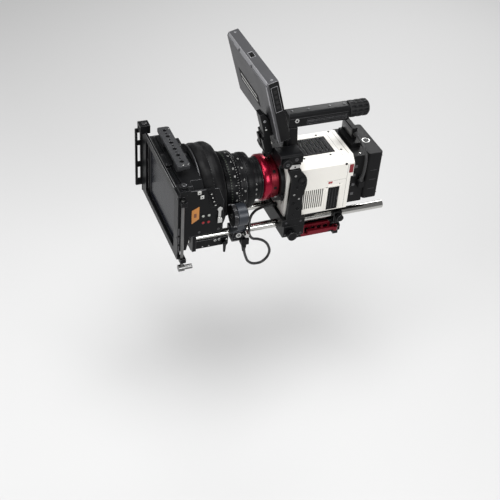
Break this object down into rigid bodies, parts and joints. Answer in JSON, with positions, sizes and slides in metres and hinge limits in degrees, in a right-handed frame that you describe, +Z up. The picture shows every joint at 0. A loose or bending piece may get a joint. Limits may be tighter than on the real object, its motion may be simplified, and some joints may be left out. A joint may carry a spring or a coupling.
{
  "type": "cinema camera rig",
  "caption": "Cinema camera rig: boxy camera in a cage with top handle, geared lens and focus motor, matte box on rods, tilting monitor, rear battery and tripod plate.",
  "frame": {"origin": "centre of the flat underside of the tripod plate under the camera", "axes": "+Y runs back along the optical axis, so the lens looks along -Y; +Z is up; +X is the camera operator's left-hand side"},
  "size_m": [0.259, 0.4355, 0.3784],
  "materials": {
    "white_paint": "satin",
    "black_anodised": "satin",
    "grey_anodised": "satin",
    "red_anodised": "satin",
    "bright_steel": "polished",
    "black_plastic": "matte",
    "monitor_shell": "satin",
    "red_plastic": "gloss",
    "grip_rubber": "matte",
    "cord_jacket": "matte",
    "donut_fabric": "matte",
    "lens_glass": "gloss",
    "filter_glass": "gloss",
    "screen_glass": "gloss",
    "circuit_board": "satin"
  },
  "bodies": {
    "camera": {"camera_body": "white_paint", "vent_panel": "black_plastic", "heat_sink": "grey_anodised", "circuit_board": "circuit_board", "image_sensor": "screen_glass", "lens_mount": "bright_steel", "lens_adapter": "red_anodised", "lens_barrel": "black_anodised", "front_element": "lens_glass", "motor_body": "grey_anodised", "motor_clamp": "black_anodised", "motor_socket": "black_plastic", "filter_stage": "black_anodised", "side_wing_near": "black_anodised", "side_wing_far": "black_anodised", "lens_donut": "donut_fabric", "accessory_bar": "grey_anodised", "front_frame": "black_anodised", "rod_bracket": "black_anodised", "rod_near": "bright_steel", "rod_far": "bright_steel", "bridge_plate": "black_anodised", "rod_block_front": "black_anodised", "rod_block_rear": "black_anodised", "cage_side": "black_anodised", "cage_top": "black_anodised", "tripod_plate": "black_anodised", "release_frame": "red_anodised", "handle_post": "black_anodised", "handle_bar": "black_anodised", "handle_grip": "grip_rubber", "battery_plate": "black_plastic", "aerial_block": "black_plastic", "front_socket": "black_plastic", "motor_cord": "cord_jacket", "aerial_cord": "cord_jacket"},
    "fan": {"cooling_fan": "black_plastic"},
    "lock_ring": {"mount_lock_ring": "black_anodised"},
    "iris": {"iris_ring": "black_anodised"},
    "focus": {"focus_ring": "black_anodised"},
    "pinion": {"motor_gear": "black_plastic"},
    "tray_front": {"filter_tray_1": "black_anodised", "filter_glass": "filter_glass"},
    "tray_rear": {"filter_tray_2": "black_anodised"},
    "flag_bracket": {"side_flag_bracket": "black_anodised"},
    "pin": {"flag_pin": "bright_steel"},
    "stage_lever": {"wing_lever": "bright_steel"},
    "rod_lever": {"bracket_lever": "black_anodised"},
    "motor_knob": {"clamp_knob": "bright_steel"},
    "rod_knob": {"rod_knob_front": "black_anodised"},
    "swivel": {"monitor_swivel": "black_anodised"},
    "knob_tilt": {"tilt_knob": "black_anodised"},
    "monitor": {"monitor_arm": "black_anodised", "monitor_body": "monitor_shell", "monitor_screen": "screen_glass"},
    "quick_release": {"release_lever": "red_anodised"},
    "door": {"media_door": "black_plastic"},
    "record": {"record_button": "red_plastic"},
    "battery_pack": {"battery": "black_plastic"},
    "gauge_button": {"battery_button": "bright_steel"}
  },
  "joints": [
    {"name": "fan_spin", "type": "hinge", "parent": "camera", "child": "fan", "pos_m": [0, -0.02, 0.161], "axis": [0, 0, 1], "continuous": true},
    {"name": "mount_lock_turn", "type": "hinge", "parent": "camera", "child": "lock_ring", "pos_m": [0, -0.083, 0.127], "axis": [0, 1, 0], "range_deg": [0, 35]},
    {"name": "iris_turn", "type": "hinge", "parent": "camera", "child": "iris", "pos_m": [0, -0.142, 0.127], "axis": [0, 1, 0], "range_deg": [-40, 40]},
    {"name": "focus_turn", "type": "hinge", "parent": "camera", "child": "focus", "pos_m": [0, -0.176, 0.127], "axis": [0, 1, 0], "range_deg": [-140, 140]},
    {"name": "pinion_turn", "type": "hinge", "parent": "camera", "child": "pinion", "pos_m": [0.0762, -0.186, 0.1136], "axis": [0, 1, 0], "range_deg": [-400, 400]},
    {"name": "tray_front_slide", "type": "slide", "parent": "camera", "child": "tray_front", "axis": [0, 0, 1], "range_m": [0, 0.12]},
    {"name": "tray_rear_slide", "type": "slide", "parent": "camera", "child": "tray_rear", "axis": [0, 0, 1], "range_m": [0, 0.12]},
    {"name": "flag_bracket_turn", "type": "hinge", "parent": "camera", "child": "flag_bracket", "pos_m": [-0.108, -0.29, 0.127], "axis": [0, 0, 1], "range_deg": [-100, 20]},
    {"name": "flag_pin_turn", "type": "hinge", "parent": "camera", "child": "pin", "pos_m": [0.108, -0.286, 0.127], "axis": [0, 0, 1], "range_deg": [-90, 90]},
    {"name": "stage_lever_turn", "type": "hinge", "parent": "camera", "child": "stage_lever", "pos_m": [0.09, -0.216, 0.145], "axis": [1, 0, 0], "range_deg": [-80, 80]},
    {"name": "rod_lever_turn", "type": "hinge", "parent": "camera", "child": "rod_lever", "pos_m": [0.045, -0.186, 0.031], "axis": [1, 0, 0], "range_deg": [-90, 40]},
    {"name": "motor_knob_turn", "type": "hinge", "parent": "camera", "child": "motor_knob", "pos_m": [0.055, -0.15, 0.049], "axis": [1, 0, 0], "range_deg": [0, 540]},
    {"name": "rod_knob_turn", "type": "hinge", "parent": "camera", "child": "rod_knob", "pos_m": [0.065, -0.066, 0.036], "axis": [1, 0, 0], "range_deg": [0, 540]},
    {"name": "monitor_swivel_turn", "type": "hinge", "parent": "camera", "child": "swivel", "pos_m": [0.004, -0.083, 0.187], "axis": [0, 0, 1], "range_deg": [-16, 10]},
    {"name": "tilt_knob_turn", "type": "hinge", "parent": "monitor", "child": "knob_tilt", "pos_m": [-0.016, -0.105, 0.1925], "axis": [1, 0, 0], "range_deg": [-360, 0]},
    {"name": "monitor_tilt", "type": "hinge", "parent": "swivel", "child": "monitor", "pos_m": [0.004, -0.105, 0.1925], "axis": [1, 0, 0], "range_deg": [-3, 60]},
    {"name": "release_turn", "type": "hinge", "parent": "camera", "child": "quick_release", "pos_m": [0.0448, 0.03, 0.019], "axis": [0, 0, 1], "range_deg": [0, 70]},
    {"name": "door_turn", "type": "hinge", "parent": "camera", "child": "door", "pos_m": [0.0516, 0.024, 0.093], "axis": [0, 0, 1], "range_deg": [0, 105]},
    {"name": "record_press", "type": "slide", "parent": "camera", "child": "record", "axis": [-1, 0, 0], "range_m": [0, 0.001], "stiffness_N_per_m": 400, "springref_m": -0.0005},
    {"name": "battery_slide", "type": "slide", "parent": "camera", "child": "battery_pack", "axis": [0, 0, 1], "range_m": [0, 0.04]},
    {"name": "gauge_press", "type": "slide", "parent": "battery_pack", "child": "gauge_button", "axis": [0, 0, -1], "range_m": [0, 0.001], "stiffness_N_per_m": 400, "springref_m": -0.0005}
  ],
  "couplings": [
    {"joint": "pinion_turn", "follows": "focus_turn", "ratio": -2.84}
  ]
}
